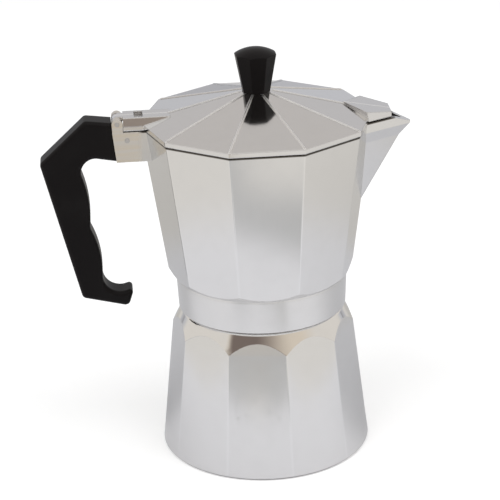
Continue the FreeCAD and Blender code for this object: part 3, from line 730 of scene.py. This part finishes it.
def wound_wire(coil_radius: float, wire_radius: float, length: float, turns: int, steps: int = 36,
               sides: int = 10) -> np.ndarray:
    """Winds a round wire into a pressure spring along Z from 0 to its length, with a closed turn at each end.

    The wire's middle lies at the coil radius at angle t, and at a height that climbs by one wire thickness in
    each end turn and evenly between. The section is a circle across the wire's run.

    Args:
        coil_radius: radius to the middle of the wire.
        wire_radius: radius of the wire.
        length: overall length.
        turns: number of turns with the closed ones.
        steps: sections in a turn.
        sides: points round the wire.

    Returns:
        Sections by sides by 3.
    """
    angle = np.linspace(0.0, TURN * turns, steps * turns + 1)
    stops = np.array((0.0, 1.0, turns - 1.0, turns)) * TURN
    heights = np.array((wire_radius, 3.0 * wire_radius, length - 3.0 * wire_radius, length - wire_radius))
    level = np.interp(angle, stops, heights)
    middle = np.stack((coil_radius * np.cos(angle), coil_radius * np.sin(angle), level), axis=1)
    outward = np.stack((np.cos(angle), np.sin(angle), np.zeros_like(angle)), axis=1)
    run = np.gradient(middle, axis=0)
    run /= np.linalg.norm(run, axis=1, keepdims=True)
    across = np.cross(run, outward)
    way = np.linspace(0.0, TURN, sides, endpoint=False)
    return (middle[:, None, :] + wire_radius * (np.cos(way)[None, :, None] * outward[:, None, :]
                                                + np.sin(way)[None, :, None] * across[:, None, :]))


def on_axis(points: np.ndarray, middle: Vector, way: Vector) -> np.ndarray:
    """Moves points from the Z axis to an axis through a middle point.

    Args:
        points: any array that ends in 3.
        middle: where the origin goes.
        way: direction that Z turns to.

    Returns:
        The points moved, in the same layout.
    """
    turn = np.array(Vector((0.0, 0.0, 1.0)).rotation_difference(way).to_matrix())
    return points @ turn.T + np.array(middle)


class Assembly:
    """One sub-assembly: it builds its own pieces and dresses its solids."""

    def build(self) -> None:
        """Builds the pieces that the solids lack; a plain assembly has none."""

    def dress(self) -> None:
        """Gives every solid of the assembly its finish."""
        raise NotImplementedError

    @staticmethod
    def wear(finish: Finish, *nodes: str) -> None:
        """Puts a finish on solids.

        Args:
            finish: what they are finished with.
            nodes: names of the solids.
        """
        for node in nodes:
            slots = frame["nodes"][node].data.materials
            slots.clear()
            slots.append(finish.material())
            LOG.info("dressed %s with %s", node, finish.name)

    @staticmethod
    def add(piece: bpy.types.Object, body: str, slot: str, finish: Finish, *replaced: str) -> None:
        """Puts a new piece on a body.

        Args:
            piece: the new object.
            body: the body that it moves with.
            slot: the record's material slot; not used.
            finish: what it is finished with.
            replaced: solids that it stands for.
        """
        piece.data.materials.append(finish.material())
        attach(piece, body)
        if replaced:
            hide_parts(*replaced)
        LOG.info("built %s on %s, %d faces", piece.name, body, len(piece.data.polygons))


@dataclass
class Boiler(Assembly):
    """The water chamber, with the thread on its neck; sizes in millimetres."""

    neck_radius: float = 36.0
    thread_depth: float = 0.55
    thread_pitch: float = 4.0
    thread_start: float = 2.6
    thread_turns: float = 1.75
    neck_height: float = 11.9

    def build(self) -> None:
        """Winds the thread round the neck, from just above the shoulder."""
        _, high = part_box("boiler")
        low = high[2] - (self.neck_height - self.thread_start) * MM
        ridge = thread_ridge(self.neck_radius * MM, self.thread_depth * MM, self.thread_pitch * MM, low,
                             self.thread_turns)
        self.add(surface("neck_thread", ridge, False), "boiler", "cast_aluminium", CAST)

    def dress(self) -> None:
        """Finishes the casting."""
        self.wear(BOILER_METAL, "boiler")


@dataclass
class SafetyValve(Assembly):
    """The brass valve in the boiler's wall; sizes in millimetres."""

    spring_radius: float = 2.3
    spring_wire: float = 0.28
    spring_length: float = 12.9
    spring_turns: int = 9
    lift: float = 1.2
    washer_inner: float = 5.1
    washer_outer: float = 7.4
    washer_gauge: float = 1.0
    washer_round: float = 0.3
    washer_steps: int = 64

    def build(self) -> None:
        """Winds the spring round the poppet's stem and moulds the sealing washer."""
        joints = {joint["name"]: joint for joint in frame["record"]["behaviour"]["joints"]}
        axis = Vector(joints["valve_lift"]["axis"])
        low, high = (Vector(corner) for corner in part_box("valve_spring"))
        start = (low + high) * 0.5 - axis * (0.5 * self.spring_length * MM)
        wire = wound_wire((self.spring_radius - self.spring_wire) * MM, self.spring_wire * MM,
                          self.spring_length * MM, self.spring_turns)
        spring = surface("wound_spring", on_axis(wire, start, axis), False)
        self.add(spring, "boiler", "steel", STEEL, "valve_spring")
        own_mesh(spring)
        low, high = (Vector(corner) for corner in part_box("valve_washer"))
        section = round_section(self.washer_outer - self.washer_inner, self.washer_gauge, self.washer_round)
        ring = turned_ring(section * MM, 0.5 * (self.washer_outer + self.washer_inner) * MM, 0.0,
                           self.washer_steps)
        washer = surface("moulded_washer", on_axis(ring, (low + high) * 0.5, axis), True)
        self.add(washer, "boiler", "sealing_rubber", RUBBER, "valve_washer")

    def dress(self) -> None:
        """Finishes the turned brass."""
        self.wear(BRASS, "valve_body", "valve_nut", "valve_poppet", "valve_retainer")


class Funnel(Assembly):
    """The funnel for the ground coffee, with its stem and perforated floor."""

    def dress(self) -> None:
        """Finishes the pressed sheet."""
        self.wear(PRESSED, "funnel", "funnel_stem", "funnel_filter")


@dataclass
class Seal(Assembly):
    """The sealing ring and the filter plate that it holds; sizes in millimetres."""

    ring_width: float = 9.1
    ring_round: float = 0.7

    def build(self) -> None:
        """Moulds the sealing ring with rounded edges, in the space of its solid."""
        low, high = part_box("gasket")
        section = round_section(self.ring_width * MM, high[2] - low[2], self.ring_round * MM)
        points = turned_ring(section, high[0] - 0.5 * self.ring_width * MM, 0.5 * (low[2] + high[2]))
        self.add(surface("sealing_ring", points, True), "seal", "sealing_rubber", RUBBER, "gasket")

    def dress(self) -> None:
        """Finishes the filter plate."""
        self.wear(PRESSED, "filter_plate")


@dataclass
class Collector(Assembly):
    """The jug with collar, spout and lug, and its delivery column; sizes in millimetres."""

    bore_radius: float = 37.2
    thread_depth: float = 0.55
    thread_pitch: float = 4.0
    thread_start: float = 2.4
    thread_turns: float = 1.75

    def build(self) -> None:
        """Winds the thread inside the collar."""
        low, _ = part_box("collector")
        ridge = thread_ridge(self.bore_radius * MM, -self.thread_depth * MM, self.thread_pitch * MM,
                             low[2] + self.thread_start * MM, self.thread_turns)
        self.add(surface("collar_thread", ridge, False), "collector", "cast_aluminium", CAST)

    def dress(self) -> None:
        """Finishes the castings and the hinge pin."""
        self.wear(COLLECTOR_METAL, "collector")
        self.wear(CAST, "delivery_column")
        self.wear(STEEL, "hinge_pin")


class Handle(Assembly):
    """The plastic grip, with the bar and the pin that hold it."""

    def dress(self) -> None:
        """Finishes moulding and steel."""
        self.wear(BLACK, "handle")
        self.wear(STEEL, "handle_tang", "handle_pin")


class Lid(Assembly):
    """The hinged lid and its knob, with insert, washer and screw."""

    def dress(self) -> None:
        """Finishes casting, moulding and fasteners."""
        self.wear(LID_METAL, "lid")
        self.wear(BLACK, "knob")
        self.wear(BRASS, "knob_insert")
        self.wear(STEEL, "knob_washer", "knob_screw")


@dataclass(frozen=True)
class Lamp:
    """A square soft lamp that leaves no spot on polished metal; lengths in metres, power in watts."""

    name: str
    place: Point
    size: float
    power: float

    def hang(self, aim: Point) -> None:
        """Hangs the lamp and points it.

        Args:
            aim: the point that it shines at.
        """
        data = bpy.data.lights.new(self.name, "AREA")
        data.size = self.size
        data.energy = self.power
        lamp = bpy.data.objects.new(self.name, data)
        bpy.context.scene.collection.objects.link(lamp)
        lamp.location = self.place
        lamp.visible_glossy = False
        way = Vector(aim) - Vector(self.place)
        lamp.rotation_euler = way.to_track_quat("-Z", "Y").to_euler()


@dataclass
class Studio:
    """Pale floor, soft light and the camera.

    The camera's lengths are in millimetres and its angles in degrees. A place on the floor is given by its
    distance from the pot's axis, in metres, and its angle round it from the front, in radians, more to the
    spout's side. A direction in the room is given by the same angle and by its rise, the sine of its height
    above level. A step is where a change starts and ends, and a span is where an area starts, is full, is
    last full and ends.
    """

    lens: float = 140.43
    sensor: float = 36.0
    distance: float = 922.52
    elevation: float = 22.26
    azimuth: float = -4.18
    roll: float = -1.8
    target_side: float = -5.09
    target_height: float = 96.62
    lamps: tuple[Lamp, ...] = (Lamp("lamp_left", (-1.0, -0.8, 1.6), 1.6, 16.0),
                               Lamp("lamp_right", (1.0, -0.6, 1.6), 1.6, 14.0))
    lamp_aim: Point = (0.0, 0.0, 0.09)
    floor_reach: float = 6.0
    floor_glow: float = 0.22
    paper: Colour = (0.86, 0.86, 0.86)
    sky_light: float = 0.62
    sheet: Colour = (0.78, 0.78, 0.81)
    table: Colour = (0.735, 0.713, 0.682)
    table_step: Step = (0.2, 0.26)
    grey: Colour = (0.47, 0.47, 0.475)
    near_around: Span = (-0.05, 0.02, 0.36, 0.5)
    near_start: Step = (0.2, 0.225)
    near_end: Step = (0.232, 0.262)
    near_slant: float = 0.11
    far_around: Span = (-0.8, -0.6, -0.01, 0.05)
    far_least: Step = (0.195, 0.22)
    far_start: Step = (0.25, 0.31)
    far_middle: float = -0.21
    far_slant: float = 0.33
    warm_grey: Colour = (0.6, 0.53, 0.43)
    warm_step: Step = (0.38, 0.6)
    far_floor: Colour = (0.6, 0.6, 0.63)
    far_floor_step: Step = (0.6, 1.0)
    back_shade: float = 0.76
    unshaded_around: Span = (-2.3, -1.5, 0.75, 1.95)
    unshaded_step: Step = (0.24, 0.6)
    horizon: Colour = (0.61, 0.615, 0.645)
    ceiling: Colour = (0.64, 0.61, 0.59)
    ceiling_rise: Step = (0.05, 0.65)
    side_room: Colour = (0.84, 0.8, 0.75)
    walls_around: Span = (-2.6, -2.2, 2.2, 2.6)
    walls_rise: Span = (0.0, 0.08, 0.54, 0.62)
    bright_room: Colour = (0.8, 0.71, 0.6)
    bright_around: Span = (-1.0, -0.85, 0.8, 1.3)
    dark_room: Colour = (0.22, 0.175, 0.155)
    dark_around: Span = (-0.98, -0.8, -0.3, 0.7)
    window: Colour = (1.0, 0.99, 0.97)
    window_around: Span = (-1.6, -1.3, 1.3, 1.6)
    window_rise: Step = (0.62, 0.68)

    def camera(self) -> None:
        """Sets the camera where the photograph was taken from."""
        turn, lift, roll = (math.radians(a) for a in (self.azimuth, self.elevation, self.roll))
        back = Vector((math.sin(turn) * math.cos(lift), -math.cos(turn) * math.cos(lift), math.sin(lift)))
        right = Vector((math.cos(turn), math.sin(turn), 0.0))
        up = back.cross(right)
        target = right * self.target_side
        target.z = self.target_height
        place = (target + back * self.distance) * MM
        right, up = (math.cos(roll) * right + math.sin(roll) * up,
                     math.cos(roll) * up - math.sin(roll) * right)
        data = bpy.data.cameras.new("camera")
        data.lens = self.lens
        data.sensor_width = self.sensor
        camera = bpy.data.objects.new("camera", data)
        bpy.context.scene.collection.objects.link(camera)
        camera.matrix_world = Matrix(((right.x, up.x, back.x, place.x), (right.y, up.y, back.y, place.y),
                                      (right.z, up.z, back.z, place.z), (0.0, 0.0, 0.0, 1.0)))
        bpy.context.scene.camera = camera

    @staticmethod
    def rays(graph: Graph) -> tuple[Wire, Wire]:
        """Tells what a ray is for.

        Args:
            graph: the graph to read it in.

        Returns:
            1 for rays from the camera or through glass, and 1 for rays off a gloss.
        """
        camera = graph.node("ShaderNodeLightPath", {}, {}, "Is Camera Ray")
        outputs = camera.socket.node.outputs
        straight = (camera + Wire(graph, outputs["Is Transmission Ray"])).capped()
        return straight, Wire(graph, outputs["Is Glossy Ray"])

    @staticmethod
    def around(graph: Graph, side: Wire, ahead: Wire) -> Wire:
        """Gives the angle round the pot from the front, in radians, more to the spout's side."""
        return graph.node("ShaderNodeMath", {"operation": "ARCTAN2"}, {0: side, 1: -1.0 * ahead})

    def world(self) -> None:
        """Lights the room evenly; polished metal sees walls, dark in front, under a window and a ceiling."""
        world = bpy.data.worlds.new("room")
        bpy.context.scene.world = world
        world.use_nodes = True
        graph = Graph(world.node_tree)
        straight, gloss = self.rays(graph)
        side, ahead, rise = graph.axes(graph.node("ShaderNodeTexCoord", {}, {}, "Generated"))
        around = self.around(graph, side, ahead)
        room = graph.mix(around.within(self.dark_around), self.bright_room, self.dark_room)
        room = graph.mix(around.within(self.bright_around), self.side_room, room)
        ceiling = graph.mix(rise.above(*self.ceiling_rise), self.horizon, self.ceiling)
        walls = around.within(self.walls_around) * rise.within(self.walls_rise)
        room = graph.mix(walls, ceiling, room)
        window = rise.above(*self.window_rise) * around.within(self.window_around)
        room = graph.mix(window, room, self.window)
        colour = graph.mix(gloss, (1.0, 1.0, 1.0), room)
        strength = straight + gloss + (1.0 - straight - gloss) * self.sky_light
        sky = graph.node("ShaderNodeBackground", {}, {"Color": colour, "Strength": strength})
        graph.node("ShaderNodeOutputWorld", {}, {"Surface": sky})

    def table_top(self, graph: Graph) -> Wire:
        """Colours the floor that polished metal sees: a pale sheet with grey areas on a warm table.

        The near area's start comes closer by a slant times the angle. The far area's start comes closer by a
        slant times the angle from its middle.

        Args:
            graph: the graph to build in.

        Returns:
            The colour.
        """
        place = graph.place()
        side, ahead, _ = graph.axes(place)
        around = self.around(graph, side, ahead)
        away = graph.node("ShaderNodeVectorMath", {"operation": "LENGTH"}, {0: place}, "Value")
        near = around.within(self.near_around) * away.below(*self.near_end)
        near = near * (away + around * self.near_slant).above(*self.near_start)
        far = around.within(self.far_around) * away.above(*self.far_least)
        far = far * (away + around.swing(self.far_middle) * self.far_slant).above(*self.far_start)
        sheet = graph.mix(away.above(*self.table_step), self.sheet, self.table)
        sheet = graph.mix(near, sheet, self.grey)
        sheet = graph.mix(far, sheet, graph.mix(away.above(*self.warm_step), self.grey, self.warm_grey))
        sheet = graph.mix(away.above(*self.far_floor_step), sheet, self.far_floor)
        unshaded = (around.within(self.unshaded_around) + away.above(*self.unshaded_step)).capped()
        return graph.node("ShaderNodeVectorMath", {"operation": "SCALE"},
                          {0: sheet, "Scale": unshaded.between(self.back_shade, 1.0)})

    def floor(self) -> None:
        """Lays the pale floor: white for the camera with the shadow kept, a sheet on a table for gloss."""
        reach = self.floor_reach
        mesh = bpy.data.meshes.new("floor")
        mesh.from_pydata([(-reach, -reach, 0.0), (reach, -reach, 0.0), (reach, reach, 0.0),
                          (-reach, reach, 0.0)], [], [(0, 1, 2, 3)])
        floor = bpy.data.objects.new("floor", mesh)
        bpy.context.scene.collection.objects.link(floor)
        made = bpy.data.materials.new("floor_white")
        made.use_nodes = True
        graph = Graph(made.node_tree)
        straight, gloss = self.rays(graph)
        colour = graph.mix(gloss, self.paper, self.table_top(graph))
        paper = graph.node("ShaderNodeBsdfDiffuse", {}, {"Color": colour})
        glow = graph.node("ShaderNodeEmission", {}, {"Strength": straight * self.floor_glow})
        both = graph.node("ShaderNodeAddShader", {}, {0: paper, 1: glow})
        graph.node("ShaderNodeOutputMaterial", {}, {"Surface": both})
        floor.data.materials.append(made)

    def build(self) -> None:
        """Builds the whole set."""
        bpy.context.scene.view_settings.view_transform = "Standard"
        self.world()
        self.floor()
        for lamp in self.lamps:
            lamp.hang(self.lamp_aim)
        self.camera()


def main() -> None:
    """Builds and dresses the sub-assemblies and sets up the studio."""
    logging.basicConfig(level=logging.INFO, format="%(message)s")
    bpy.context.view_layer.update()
    for assembly in (Boiler(), SafetyValve(), Funnel(), Seal(), Collector(), Handle(), Lid()):
        assembly.build()
        assembly.dress()
    Studio().build()


if __name__ == "__main__":
    main()
